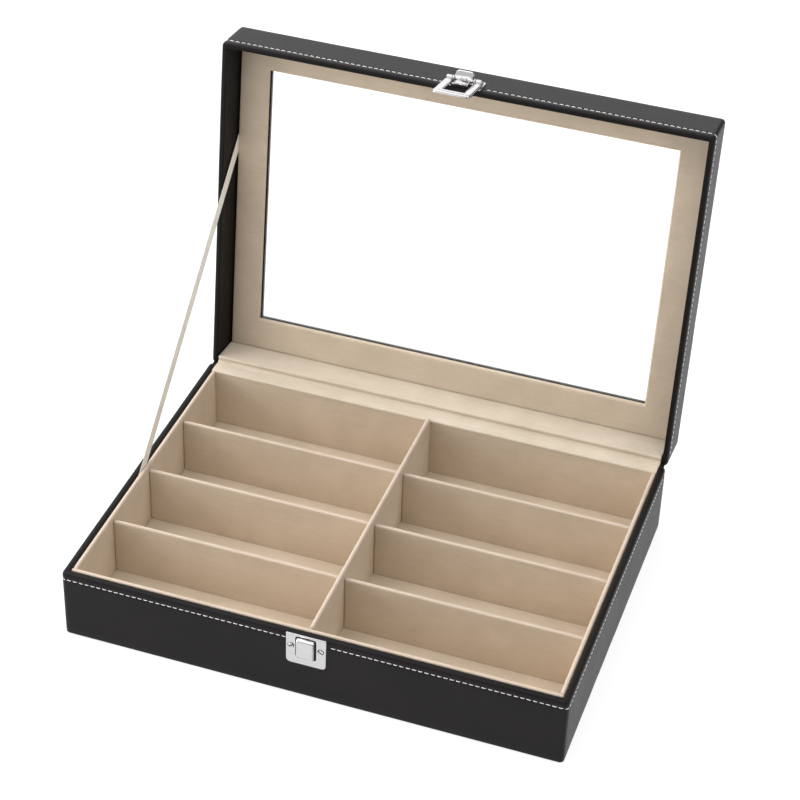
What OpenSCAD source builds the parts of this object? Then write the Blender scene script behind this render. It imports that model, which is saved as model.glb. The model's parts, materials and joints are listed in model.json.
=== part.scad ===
// Glazed case for eight pairs of glasses: a leather-covered box with a fabric-lined
// inside, a leather-hinged lid with a clear window, a ribbon stay and a metal clasp.
// X runs right, Y runs back, Z runs up; the origin is the centre of the underside.
// The lid is drawn closed and then swung open to its stop.

/* [Case] */
// Width of the case
case_w = 335; // [300:1:360]
// Depth of the case, front to back
case_d = 245; // [230:1:270]
// Height of the base, underside to rim
base_h = 51.5; // [44:0.5:60]
// Height of the lid, rim to top
lid_h = 33; // [31:0.5:40]
// Radius of the upright outer corners
corner_r = 3; // [2:0.5:6]
// Thickness of the leather covering
skin_t = 0.8; // [0.6:0.1:1]

/* [Base] */
// Thickness of the base walls with their leather
base_wall = 4.6; // [4.2:0.1:4.6]
// Thickness of the underside felt
felt_t = 1.1; // [0.8:0.1:1.5]
// Thickness of the bottom board
bottom_t = 3; // [2.5:0.5:5]
// Thickness of the padded floor
floor_t = 2.5; // [2:0.5:5]
// Thickness of the front and side lining boards
liner_t = 2.7; // [2:0.1:3.5]
// Slit between the walls and the lining
liner_gap = 0.5; // [0.5:0.05:0.6]
// Distance from the back face to the inside of the back lining
liner_back_in = 8.7; // [8:0.1:12]

/* [Dividers] */
// Thickness of the divider boards
divider_t = 2.8; // [2:0.1:4]
// Height of the rim above the cross dividers' top edge
cross_drop = 3; // [1:0.5:12]
// Height of the centre divider above the rim
centre_rise = 2.3; // [0:0.1:6]
// Spacing of the cross dividers
row_pitch = 57.4; // [50:0.1:57.5]
// Place of the middle cross divider, front to back
row_mid_y = -1.8; // [-3:0.1:0]

/* [Lid] */
// Angle that the lid opens to
open_angle = 96.6; // [92:0.1:110]
// Thickness of the front and side walls with their leather
lid_wall = 4.1; // [4:0.1:6]
// Thickness of the back wall with its leather and cloth
lid_back_wall = 6.4; // [6:0.1:9]
// Depth of the lining panel below the rim
panel_depth = 24.2; // [20:0.1:24.5]
// Thickness of the lining panel
panel_t = 3; // [2:0.5:3]
// Slit around the lining panel
panel_gap = 1; // [1:0.1:1.5]
// Thickness of the window pane
pane_t = 2; // [1.5:0.5:2.5]
// Width of the lining panel beside the window
window_side = 25.4; // [20:0.1:40]
// Width of the lining panel at the clasp side of the window
window_front = 24.8; // [20:0.1:40]
// Width of the lining panel at the hinge side of the window
window_back = 29.3; // [24:0.1:40]

/* [Hinge and stay] */
// Height of the hinge line below the base rim
hinge_drop = 2.6; // [2:0.1:4]
// Thickness of the hinge cloth
cloth_t = 0.8; // [0.5:0.1:0.8]
// Width of the ribbon stay
ribbon_w = 9; // [6:0.5:14]
// Thickness of the ribbon stay
ribbon_t = 0.4; // [0.2:0.05:0.4]

/* [Clasp] */
// Sideways place of the clasp
clasp_x = -0.8; // [-5:0.1:5]
// Width of the strike plate and the hasp
clasp_w = 26; // [24:0.5:30]
// Height of the strike plate
strike_h = 23.8; // [22:0.1:25]
// Width of the boss on the strike plate
boss_w = 11.8; // [10:0.1:13]
// Outward tilt of the hasp with the lid open
hasp_tilt = 5; // [0:0.5:6]

/* [Hidden] */
$fn = 64;

black_leather = [0.13, 0.12, 0.12];
beige_cloth = [0.78, 0.70, 0.58];
cream_ribbon = [0.92, 0.88, 0.80];
board_brown = [0.55, 0.43, 0.30];
bright_metal = [0.80, 0.80, 0.82];
pane_clear = [0.80, 0.88, 0.90, 0.35];

half_w = case_w / 2;
half_d = case_d / 2;
cut = 1;

// Levels of the base
cover_z0 = 0.3;
board_z = felt_t + bottom_t;
floor_z = board_z + floor_t;
wall_top = base_h - skin_t;
liner_out = base_wall + liner_gap;
liner_in = liner_out + liner_t;
felt_inset = 11;
under_lip = 10;

// Levels of the closed lid
rim_gap = 0.3;
lid_z0 = base_h + rim_gap;
lid_z1 = lid_z0 + lid_h;
panel_z = lid_z0 + panel_depth;
pane_z = panel_z + panel_t;
frame_z1 = lid_z1 - skin_t;
frame_inset = [0.7, 0.8, 2.8];
pane_lap = 7;
pane_clearance = 0.2;

// Hinge line, and the place of the leather strip that bridges it
hinge_y = half_d + 0.3;
hinge_z = base_h - hinge_drop;
spine_z0 = hinge_z - 9;
spine_z1 = lid_z0 + 10;
spine_half_w = half_w - 5;
cloth_half_w = half_w - 4.9;
bend_steps = 8;

// Ribbon ends where it leaves the base slit and the lid slit
ribbon_x = -(half_w - base_wall - liner_gap / 2);
ribbon_base = [-2, base_h];
ribbon_lid = [-39.5, panel_z];
ribbon_base_tail = 16;
ribbon_lid_tail = -0.8;

// Clasp levels, in distance out from the front face and height above the underside
sheet_t = 1;
strike_z1 = base_h - 0.1;
strike_z0 = strike_z1 - strike_h;
boss_z0 = strike_z0 + 6.8;
boss_z1 = boss_z0 + 15;
boss_out = 4;
screw_x = 9.9;
strike_screw_z = base_h - 9.4;
shank_r = 1.2;
shank_l = 4;
head_r = 1.9;
head_t = 0.8;
mount_z0 = lid_z0 + 1.2;
mount_z1 = lid_z0 + 14.2;
mount_screw_z = lid_z0 + 11;
pin_out = 3.2;
pin_z = lid_z0 + 6.8;
pin_r = 0.75;
barrel_r = 1.7;
barrel_half = 6.0;
spring_half = 2;
spring_r = 1.6;
ear_x = 6.6;
ear_t = 1;
hasp_back = 1.4;
hasp_t = 2;
hasp_z0 = strike_z0 + 0.4;
hasp_z1 = pin_z - 2.6;
hasp_window = [15.2, boss_z0 - 1.1, pin_z - 5.4];
hasp_end = [8, 12.8];
eye_r = 1.9;
bridge_t = 0.8;
tongue_half = 4.6;
tab_w = 12.4;
tab_l = 4.9;
tab_t = 1.4;
tab_lean = 70;

// Where a closed-lid point [y, z] goes when the lid is open
function opened(p) = [
    hinge_y + (p[0] - hinge_y) * cos(open_angle) + (p[1] - hinge_z) * sin(open_angle),
    hinge_z - (p[0] - hinge_y) * sin(open_angle) + (p[1] - hinge_z) * cos(open_angle)];

function bezier(a, b, c, t) = (1 - t) * (1 - t) * a + 2 * t * (1 - t) * b + t * t * c;

// Unit direction across a path at point i
function across(path, i) =
    let (a = path[max(i - 1, 0)], b = path[min(i + 1, len(path) - 1)], d = b - a)
    [-d[1], d[0]] / norm(d);

// Outline of a strip of thickness t that is centred on a path
function strip_outline(path, t) = concat(
    [for (i = [0 : len(path) - 1]) path[i] + across(path, i) * t / 2],
    [for (i = [len(path) - 1 : -1 : 0]) path[i] - across(path, i) * t / 2]);

// A [y, z] outline drawn out along X from x0 to x1
module along_x(outline, x0, x1) {
    translate([x0, 0, 0])
        rotate([90, 0, 90])
            linear_extrude(x1 - x0)
                polygon(outline);
}

// A box given by its lowest and highest corners
module block(low, high) {
    translate(low)
        cube(high - low);
}

// The case's outline drawn in by inset, between two heights
module case_prism(inset, z0, z1) {
    r = corner_r - inset;
    x = half_w - inset;
    y = half_d - inset;
    translate([0, 0, z0])
        linear_extrude(z1 - z0)
            union() {
                square([2 * x, 2 * (y - r)], center = true);
                square([2 * (x - r), 2 * y], center = true);
                for (sx = [-1, 1], sy = [-1, 1])
                    translate([sx * (x - r), sy * (y - r)])
                        circle(r);
            }
}

// Four walls of a box, picked by side, as boards between an outer and an inner inset
module wall_board(side, outer, inner_side, inner_end, z0, z1) {
    reach = half_w + cut;
    intersection() {
        case_prism(outer, z0, z1);
        if (side == "front")
            block([-reach, -half_d, z0], [reach, -half_d + inner_side, z1]);
        else if (side == "back")
            block([-reach, half_d - inner_end, z0], [reach, half_d, z1]);
        else
            mirror([side == "right" ? 1 : 0, 0, 0])
                block([-half_w, -half_d + inner_side, z0],
                      [-half_w + inner_side, half_d - inner_end, z1]);
    }
}

// A round hole or rod that runs in from the front face
module front_rod(x, z, r, out, depth) {
    translate([clasp_x + x, -half_d - out, z])
        rotate([-90, 0, 0])
            cylinder(h = out + depth, r = r);
}

module screw_holes(z, r) {
    for (sx = [-1, 1])
        front_rod(sx * screw_x, z, r, sheet_t + cut, shank_l - sheet_t);
}

// Two slotted screws at height z, heads on the metal sheet
module slotted_screws(z) {
    for (sx = [-1, 1])
        difference() {
            union() {
                front_rod(sx * screw_x, z, shank_r, sheet_t, shank_l - sheet_t);
                translate([0, -sheet_t, 0])
                    front_rod(sx * screw_x, z, head_r, head_t, 0);
            }
            translate([clasp_x + sx * screw_x, -half_d - sheet_t - head_t, z])
                rotate([0, 35 * sx, 0])
                    cube([2 * head_r + cut, 0.8, 0.6], center = true);
        }
}

// Turns the closed lid to its open place
module open_lid() {
    translate([0, hinge_y, hinge_z])
        rotate([-open_angle, 0, 0])
            translate([0, -hinge_y, -hinge_z])
                children();
}

// ---- Base ----

module base_felt() {
    color(black_leather)
        block([-half_w + felt_inset, -half_d + felt_inset, 0],
              [half_w - felt_inset, half_d - felt_inset, felt_t]);
}

module base_bottom_board() {
    color(board_brown)
        case_prism(skin_t, felt_t, board_z);
}

module base_wall(side) {
    color(board_brown)
        difference() {
            wall_board(side, skin_t, base_wall, base_wall, board_z, wall_top);
            if (side == "front")
                screw_holes(strike_screw_z, shank_r + 0.05);
        }
}

module base_leather_cover() {
    rim_x = half_w - base_wall;
    color(black_leather)
        difference() {
            case_prism(0, cover_z0, base_h);
            case_prism(skin_t, felt_t, wall_top);
            block([-half_w + under_lip, -half_d + under_lip, 0],
                  [half_w - under_lip, half_d - under_lip, felt_t + cut]);
            block([-rim_x, -half_d + base_wall, wall_top - cut],
                  [rim_x, half_d + cut, base_h + cut]);
            block([-spine_half_w, half_d - skin_t - cut, spine_z0],
                  [spine_half_w, half_d + cut, base_h + cut]);
            screw_holes(strike_screw_z, shank_r + 0.05);
        }
}

module floor_pad() {
    x = half_w - liner_out;
    color(beige_cloth)
        block([-x, -half_d + liner_out, board_z], [x, half_d - liner_out, floor_z]);
}

module liner_front() {
    x = half_w - liner_out;
    color(beige_cloth)
        block([-x, -half_d + liner_out, floor_z], [x, -half_d + liner_in, base_h]);
}

module liner_back() {
    x = half_w - liner_out;
    color(beige_cloth)
        block([-x, half_d - liner_back_in, floor_z],
              [x, half_d - liner_out, base_h - cloth_t]);
}

module liner_side(side) {
    color(beige_cloth)
        mirror([side == "right" ? 1 : 0, 0, 0])
            block([-half_w + liner_out, -half_d + liner_in, floor_z],
                  [-half_w + liner_in, half_d - liner_back_in, base_h]);
}

module divider_center() {
    color(beige_cloth)
        block([-divider_t / 2, -half_d + liner_in, floor_z],
              [divider_t / 2, half_d - liner_back_in, base_h + centre_rise]);
}

// One short divider; row is -1 at the front, 0 in the middle and 1 at the back
module divider_cross(side, row) {
    y = row_mid_y + row * row_pitch;
    color(beige_cloth)
        mirror([side == "right" ? 1 : 0, 0, 0])
            block([-half_w + liner_in, y - divider_t / 2, floor_z],
                  [-divider_t / 2, y + divider_t / 2, base_h - cross_drop]);
}

module strike_plate() {
    half = clasp_w / 2 + 0.3;
    r = 3;
    face = -half_d - sheet_t;
    boss = [
        [-half_d - sheet_t / 2, boss_z1], [-half_d - boss_out + 0.8, boss_z1 - 1.8],
        [-half_d - boss_out, boss_z1 - 3], [-half_d - boss_out, boss_z0 + 0.8],
        [-half_d - boss_out + 0.5, boss_z0], [-half_d - sheet_t / 2, boss_z0]];
    color(bright_metal)
        difference() {
            union() {
                translate([clasp_x, -half_d, 0])
                    rotate([90, 0, 0])
                        linear_extrude(sheet_t)
                            union() {
                                translate([-half, strike_z0 + r])
                                    square([2 * half, strike_h - r]);
                                translate([-half + r, strike_z0])
                                    square([2 * (half - r), r + 1]);
                                for (sx = [-1, 1])
                                    translate([sx * (half - r), strike_z0 + r])
                                        circle(r);
                            }
                along_x(boss, clasp_x - boss_w / 2, clasp_x + boss_w / 2);
            }
            screw_holes(strike_screw_z, shank_r + 0.05);
            block([clasp_x - 4.2, -half_d - boss_out - cut, boss_z0 + 2.4],
                  [clasp_x + 4.2, -half_d - boss_out + 0.4, boss_z1 - 4.6]);
            block([clasp_x - 2.8, face - cut, strike_z1 - 1.7],
                  [clasp_x + 2.8, face + 0.6, strike_z1 - 0.6]);
        }
}

module strike_screws() {
    color(bright_metal)
        slotted_screws(strike_screw_z);
}

// ---- Soft pieces that cross the hinge ----

module leather_spine() {
    y = half_d - skin_t / 2;
    start = [y, hinge_z - 1.4];
    lid_start = opened([y, lid_z0 + 2.5]);
    lid_way = opened([y, lid_z0 + 3.5]) - lid_start;
    corner = [y, lid_start[1] - (lid_start[0] - y) * lid_way[1] / lid_way[0]];
    bend = [for (i = [0 : bend_steps]) bezier(start, corner, lid_start, i / bend_steps)];
    path = concat([[y, spine_z0]], bend, [opened([y, spine_z1])]);
    color(black_leather)
        along_x(strip_outline(path, skin_t), -spine_half_w, spine_half_w);
}

module hinge_cloth() {
    z = base_h - cloth_t / 2;
    rim = lid_z0 + cloth_t / 2 - 0.05;
    inside = half_d - lid_back_wall + cloth_t / 2 - 0.05;
    foot = opened([half_d - 3.2, rim]);
    path = concat(
        [[half_d - liner_back_in, z], [half_d - 0.7, z]],
        [for (i = [1 : bend_steps])
            bezier([half_d - 0.7, z], [foot[0] - 0.4, z - 1.4], foot, i / bend_steps)],
        [for (i = [0 : bend_steps])
            bezier(opened([inside + 0.7, rim]), opened([inside, rim]),
                   opened([inside, rim + 0.7]), i / bend_steps)],
        [opened([inside, panel_z - 0.05])]);
    color(beige_cloth)
        along_x(strip_outline(path, cloth_t), -cloth_half_w, cloth_half_w);
}

module ribbon_stay() {
    top = opened(ribbon_lid);
    way = (top - ribbon_base) / norm(top - ribbon_base);
    path = [ribbon_base - way * ribbon_base_tail, top + way * ribbon_lid_tail];
    color(cream_ribbon)
        along_x(strip_outline(path, ribbon_w), ribbon_x - ribbon_t / 2, ribbon_x + ribbon_t / 2);
}

// ---- Lid ----

module lid_wall_part(side) {
    inner = lid_wall - skin_t;
    color(board_brown)
        open_lid()
            difference() {
                wall_board(side, skin_t, inner, lid_back_wall - cloth_t - 0.05,
                           lid_z0 + skin_t + 0.05, pane_z);
                if (side == "front")
                    screw_holes(mount_screw_z, shank_r + 0.05);
            }
}

// The frame's window cut, drawn out on every side by grow
module frame_window(grow, z0, z1) {
    block([-half_w + window_side - frame_inset[0] - grow,
           -half_d + window_front - frame_inset[1] - grow, z0],
          [half_w - window_side + frame_inset[0] + grow,
           half_d - window_back + frame_inset[2] + grow, z1]);
}

module lid_top_frame() {
    color(board_brown)
        open_lid()
            difference() {
                case_prism(skin_t, pane_z, frame_z1);
                frame_window(skin_t, pane_z - cut, frame_z1 + cut);
                frame_window(pane_lap + pane_clearance, pane_z - cut, pane_z + pane_t);
            }
}

module lid_leather_cover() {
    x = half_w - lid_wall;
    front = -half_d + lid_wall;
    back = half_d - lid_back_wall;
    color(black_leather)
        open_lid()
            difference() {
                union() {
                    difference() {
                        case_prism(0, lid_z0, lid_z1);
                        wall_room(lid_z0 + skin_t);
                        case_prism(skin_t, panel_z, frame_z1);
                        block([-x, front, lid_z0 - cut], [x, back, frame_z1]);
                    }
                    difference() {
                        frame_window(skin_t, pane_z + pane_t, lid_z1);
                        frame_window(0, pane_z, lid_z1 + cut);
                    }
                }
                frame_window(0, frame_z1 - cut, lid_z1 + cut);
                block([-x, back - cut, lid_z0 - cut], [x, half_d + cut, lid_z0 + skin_t]);
                block([-x, back - cut, lid_z0 - cut], [x, half_d - skin_t, frame_z1]);
                block([-spine_half_w, half_d - skin_t - cut, lid_z0 - cut],
                      [spine_half_w, half_d + cut, spine_z1]);
                screw_holes(mount_screw_z, shank_r + 0.05);
            }
}

// The room that the lid's wall boards take inside the leather
module wall_room(z0) {
    inner = lid_wall - skin_t;
    difference() {
        case_prism(skin_t, z0, pane_z);
        block([-half_w + inner, -half_d + inner, z0 - cut],
              [half_w - inner, half_d - lid_back_wall + cloth_t, pane_z + cut]);
    }
}

module window_pane() {
    color(pane_clear)
        open_lid()
            frame_window(pane_lap, pane_z, pane_z + pane_t);
}

module lid_liner_panel() {
    x = half_w - lid_wall - panel_gap;
    hole_x = half_w - window_side;
    color(beige_cloth)
        open_lid()
            difference() {
                block([-x, -half_d + lid_wall + panel_gap / 2, panel_z],
                      [x, half_d - lid_back_wall + cloth_t, pane_z]);
                block([-hole_x, -half_d + window_front, panel_z - cut],
                      [hole_x, half_d - window_back, pane_z + cut]);
            }
}

module clasp_mount_plate() {
    half = clasp_w / 2;
    face = -half_d - sheet_t;
    color(bright_metal)
        open_lid()
            difference() {
                union() {
                    block([clasp_x - half, face, mount_z0], [clasp_x + half, -half_d, mount_z1]);
                    for (x = [-ear_x - ear_t, ear_x]) {
                        block([clasp_x + x, -half_d - pin_out, pin_z - 1.9],
                              [clasp_x + x + ear_t, -half_d, pin_z + 1.9]);
                        translate([clasp_x + x, -half_d - pin_out, pin_z])
                            rotate([0, 90, 0])
                                cylinder(h = ear_t, r = 1.9);
                    }
                }
                screw_holes(mount_screw_z, shank_r + 0.05);
                pin_rod(ear_x + ear_t + cut, pin_r + 0.02);
            }
}

module pin_rod(half, r) {
    translate([clasp_x - half, -half_d - pin_out, pin_z])
        rotate([0, 90, 0])
            cylinder(h = 2 * half, r = r);
}

module clasp_screws() {
    color(bright_metal)
        open_lid()
            slotted_screws(mount_screw_z);
}

module clasp_pin() {
    color(bright_metal)
        open_lid()
            pin_rod(hasp_end[1] - 0.2, pin_r);
}

// Coil around the pin, with one leg resting on the mounting plate
module clasp_spring() {
    leg_y = -half_d - sheet_t - 1.1;
    color(bright_metal)
        open_lid()
            difference() {
                union() {
                    pin_rod(spring_half - 0.2, spring_r);
                    block([clasp_x - 1.2, leg_y, pin_z], [clasp_x - 0.6, leg_y + 0.9, pin_z + 5]);
                }
                pin_rod(spring_half, pin_r + 0.15);
            }
}

// Rocking hasp: two arms and a bar that drop over the boss, with eyes round the pin, and a
// barrel between the ears that carries the thumb tab. A thin bridge joins them behind.
module clasp_hasp() {
    back = -half_d - hasp_back;
    front = back - hasp_t;
    color(bright_metal)
        open_lid()
            translate([clasp_x, -half_d - pin_out, pin_z])
                rotate([-hasp_tilt, 0, 0])
                    translate([-clasp_x, half_d + pin_out, -pin_z])
                        difference() {
                            union() {
                                block([clasp_x - hasp_end[1], front, hasp_z0],
                                      [clasp_x + hasp_end[1], back, hasp_z1 - 0.4]);
                                for (side = [-1, 1])
                                    hasp_eye(side, front, back);
                                block([clasp_x - tongue_half, front + 0.2, hasp_window[2] - 2],
                                      [clasp_x + tongue_half, back - 0.3, pin_z - 0.4]);
                                pin_rod(barrel_half, barrel_r);
                                hasp_tab();
                            }
                            difference() {
                                block([clasp_x - hasp_window[0] / 2, front - cut, hasp_window[1]],
                                      [clasp_x + hasp_window[0] / 2, back + cut, hasp_z1]);
                                block([clasp_x - tongue_half, front - 2, hasp_window[2] - 2],
                                      [clasp_x + tongue_half, back - 0.3, hasp_z1 + cut]);
                                block([clasp_x - hasp_window[0], back - bridge_t, hasp_window[2]],
                                      [clasp_x + hasp_window[0], back + 2, hasp_z1 + cut]);
                            }
                            pin_rod(spring_half, barrel_r + 0.1);
                            pin_rod(hasp_end[1] + cut, pin_r + 0.07);
                            for (sx = [-1, 1])
                                front_rod(sx * screw_x, strike_screw_z, head_r + 0.25, 2.2, 0);
                        }
}

// The top of one arm with the eye that goes round the pin
module hasp_eye(side, front, back) {
    middle = clasp_x + side * (hasp_end[0] + hasp_end[1]) / 2;
    half = (hasp_end[1] - hasp_end[0]) / 2;
    block([middle - half, front, hasp_z1 - 2], [middle + half, back, pin_z]);
    translate([middle - half, -half_d - pin_out, pin_z])
        rotate([0, 90, 0])
            cylinder(h = 2 * half, r = eye_r);
}

module hasp_tab() {
    r = 2.6;
    translate([clasp_x, -half_d - pin_out, pin_z])
        rotate([tab_lean, 0, 0])
            translate([0, 0.2, 0.5])
                rotate([90, 0, 0])
                    linear_extrude(tab_t)
                        union() {
                            translate([-tab_w / 2, 0])
                                square([tab_w, tab_l - r]);
                            translate([-tab_w / 2 + r, 0])
                                square([tab_w - 2 * r, tab_l]);
                            for (sx = [-1, 1])
                                translate([sx * (tab_w / 2 - r), tab_l - r])
                                    circle(r);
                        }
}

base_felt();
base_bottom_board();
base_wall("front");  // base_wall_front
base_wall("back");  // base_wall_back
base_wall("left");  // base_wall_left
base_wall("right");  // base_wall_right
base_leather_cover();
floor_pad();
liner_front();
liner_back();
liner_side("left");  // liner_left
liner_side("right");  // liner_right
divider_center();
divider_cross("left", -1);  // divider_left_front
divider_cross("left", 0);  // divider_left_middle
divider_cross("left", 1);  // divider_left_back
divider_cross("right", -1);  // divider_right_front
divider_cross("right", 0);  // divider_right_middle
divider_cross("right", 1);  // divider_right_back
strike_plate();
strike_screws();
leather_spine();
hinge_cloth();
ribbon_stay();
lid_wall_part("front");  // lid_wall_front
lid_wall_part("back");  // lid_wall_back
lid_wall_part("left");  // lid_wall_left
lid_wall_part("right");  // lid_wall_right
lid_top_frame();
lid_leather_cover();
window_pane();
lid_liner_panel();
clasp_mount_plate();
clasp_screws();
clasp_pin();
clasp_spring();
clasp_hasp();
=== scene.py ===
import json
import math
import random

import bmesh
import bpy
from mathutils import Matrix, Vector, noise


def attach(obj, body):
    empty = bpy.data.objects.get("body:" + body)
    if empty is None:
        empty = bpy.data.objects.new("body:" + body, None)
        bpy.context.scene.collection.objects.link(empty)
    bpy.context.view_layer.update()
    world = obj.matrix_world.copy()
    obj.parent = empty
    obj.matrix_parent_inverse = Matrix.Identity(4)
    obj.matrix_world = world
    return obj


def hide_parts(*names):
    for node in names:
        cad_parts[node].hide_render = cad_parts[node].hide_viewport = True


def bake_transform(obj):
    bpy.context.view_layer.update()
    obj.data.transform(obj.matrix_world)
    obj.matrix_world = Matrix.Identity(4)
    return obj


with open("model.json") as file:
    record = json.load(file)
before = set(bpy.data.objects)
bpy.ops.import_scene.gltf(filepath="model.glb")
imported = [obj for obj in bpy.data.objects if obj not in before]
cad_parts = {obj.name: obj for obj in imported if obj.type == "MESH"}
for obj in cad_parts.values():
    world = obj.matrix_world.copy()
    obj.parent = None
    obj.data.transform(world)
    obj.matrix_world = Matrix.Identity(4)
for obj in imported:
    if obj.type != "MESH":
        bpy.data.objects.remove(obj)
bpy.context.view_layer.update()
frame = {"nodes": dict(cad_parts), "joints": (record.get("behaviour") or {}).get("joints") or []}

# Lengths are millimetres until a mesh is made. Lights and camera are placed in metres.
# Lid pieces are written as in the closed lid, and turned open with opened().
MM = 0.001
DIVIDER_ROWS = ("front", "middle", "back")
random.seed(7)

JOINTS = {joint["name"]: joint for joint in frame["joints"]}
OPEN = math.radians(JOINTS["lid_hinge"]["range_deg"][1])
HINGE_Y, HINGE_Z = (1000 * JOINTS["lid_hinge"]["pos_m"][i] for i in (1, 2))


def opened(p, angle=OPEN):
    """Where a point (x, y, z) of the closed lid goes when the lid is open."""
    dy = p[1] - HINGE_Y
    dz = p[2] - HINGE_Z
    return (p[0], HINGE_Y + dy * math.cos(angle) + dz * math.sin(angle),
            HINGE_Z - dy * math.sin(angle) + dz * math.cos(angle))


def node_box(node, in_lid=False):
    """Lowest and highest corner of a CAD node, of the closed lid's if in_lid."""
    points = [1000 * v.co for v in frame["nodes"][node].data.vertices]
    if in_lid:
        points = [opened(p, -OPEN) for p in points]
    low = [min(p[i] for p in points) for i in range(3)]
    high = [max(p[i] for p in points) for i in range(3)]
    return low, high


base_high = node_box("base_leather_cover")[1]
lid_low, lid_high = node_box("lid_leather_cover", True)
panel_low, panel_high = node_box("lid_liner_panel", True)
strike_low, strike_high = node_box("strike_plate")

HALF_W = base_high[0]
HALF_D = base_high[1]
BASE_TOP = base_high[2]
LID_RIM = lid_low[2]
LID_TOP = lid_high[2]
PANEL_Z = panel_low[2]
CORNER_R = 3.0
SKIN = 0.8
LID_WALL = 4.1
LID_BACK = 5.65
LEATHER_DIP = 0.16
STITCH_DROP = 4.9
CLOTH_T = 0.8
SPINE_HALF = HALF_W - 5
CLOTH_HALF = HALF_W - 4.9
SPINE_LOW = HINGE_Z - 9
SPINE_HIGH = LID_RIM + 10
CLASP_X = (strike_low[0] + strike_high[0]) / 2
PIN_OUT = 3.2
PIN_Y = -HALF_D - PIN_OUT
PIN_Z = LID_RIM + 6.8
HASP_TILT = 5


# ---- Materials ----

class Shader:
    """A node material under construction around one Principled shader."""

    def __init__(self, name, color, roughness=0.5, **constants):
        self.material = bpy.data.materials.new(name)
        self.material.use_nodes = True
        self.tree = self.material.node_tree
        self.bsdf = next(n for n in self.tree.nodes if n.type == "BSDF_PRINCIPLED")
        self.bsdf.inputs["Base Color"].default_value = (*color, 1)
        self.bsdf.inputs["Roughness"].default_value = roughness
        for socket, value in constants.items():
            self.bsdf.inputs[socket.replace("_", " ")].default_value = value
        self.coordinates = self.node("ShaderNodeTexCoord").outputs["Object"]

    def node(self, kind, **settings):
        made = self.tree.nodes.new(kind)
        for key, value in settings.items():
            setattr(made, key, value)
        return made

    def link(self, source, target):
        self.tree.links.new(source, target)

    def scaled(self, scale):
        mapping = self.node("ShaderNodeMapping")
        mapping.inputs["Scale"].default_value = scale
        self.link(self.coordinates, mapping.inputs["Vector"])
        return mapping.outputs["Vector"]

    def noise(self, scale, detail=3.0, rough=0.5, vector=None):
        made = self.node("ShaderNodeTexNoise")
        made.inputs["Scale"].default_value = scale
        made.inputs["Detail"].default_value = detail
        made.inputs["Roughness"].default_value = rough
        self.link(vector or self.coordinates, made.inputs["Vector"])
        return made.outputs["Fac"]

    def cells(self, scale):
        made = self.node("ShaderNodeTexVoronoi", feature="SMOOTH_F1")
        made.inputs["Scale"].default_value = scale
        made.inputs["Smoothness"].default_value = 0.6
        self.link(self.coordinates, made.inputs["Vector"])
        return made.outputs["Distance"]

    def remap(self, value, low, high):
        made = self.node("ShaderNodeMapRange")
        made.inputs["To Min"].default_value = low
        made.inputs["To Max"].default_value = high
        self.link(value, made.inputs["Value"])
        return made.outputs["Result"]

    def math(self, operation, a, b):
        made = self.node("ShaderNodeMath", operation=operation)
        for socket, value in zip(made.inputs, (a, b)):
            if isinstance(value, (int, float)):
                socket.default_value = value
            else:
                self.link(value, socket)
        return made.outputs["Value"]

    def colors(self, value, stops):
        ramp = self.node("ShaderNodeValToRGB")
        elements = ramp.color_ramp.elements
        while len(elements) < len(stops):
            elements.new(0.5)
        for element, (place, color) in zip(elements, stops):
            element.position = place
            element.color = (*color, 1)
        self.link(value, ramp.inputs["Fac"])
        return ramp.outputs["Color"]

    def bump(self, *layers):
        """Each layer is (height value, distance in millimetres, strength)."""
        normal = None
        for height, distance, strength in layers:
            made = self.node("ShaderNodeBump")
            made.inputs["Distance"].default_value = distance * MM
            made.inputs["Strength"].default_value = strength
            self.link(height, made.inputs["Height"])
            if normal:
                self.link(normal, made.inputs["Normal"])
            normal = made.outputs["Normal"]
        self.link(normal, self.bsdf.inputs["Normal"])

    def paint(self, value, *stops):
        self.link(self.colors(value, stops), self.bsdf.inputs["Base Color"])

    def roughen(self, value):
        self.link(value, self.bsdf.inputs["Roughness"])


def grey(value):
    return (value,) * 3


def make_leather(name, low, high, specular, rough):
    s = Shader(name, low, rough, Specular_IOR_Level=specular)
    patches = s.noise(22, 3)
    s.paint(patches, (0.3, low), (0.7, high))
    pebbles = s.cells(1050)
    fine = s.noise(3200, 2)
    s.roughen(s.math("ADD", s.remap(patches, rough - 0.05, rough + 0.05),
                     s.remap(pebbles, 0.0, 0.10)))
    s.bump((s.noise(60, 2), 0.25, 0.25), (pebbles, 0.10, 0.45), (fine, 0.03, 0.5))
    return s.material


def make_suede(name, tone, dark, light, sheen=0.25):
    s = Shader(name, tone, 0.95, Sheen_Weight=sheen, Sheen_Roughness=0.45,
               Specular_IOR_Level=0.2, Sheen_Tint=(1.0, 0.95, 0.88, 1))
    brushed = s.noise(38, 4, 0.6)
    speckle = s.noise(1500, 2)
    threads = s.noise(1.0, 3, 0.6, s.scaled((45, 520, 520)))
    mixed = s.math("ADD", s.math("MULTIPLY", brushed, 0.5), s.math("MULTIPLY", speckle, 0.25))
    mixed = s.math("ADD", mixed, s.math("MULTIPLY", threads, 0.25))
    s.paint(mixed, (0.35, dark), (0.5, tone), (0.65, light))
    s.roughen(s.remap(brushed, 0.88, 1.0))
    s.bump((s.noise(90, 3), 0.10, 0.35), (s.noise(1900, 3, 0.7), 0.07, 0.6),
           (threads, 0.08, 0.4))
    return s.material


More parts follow.
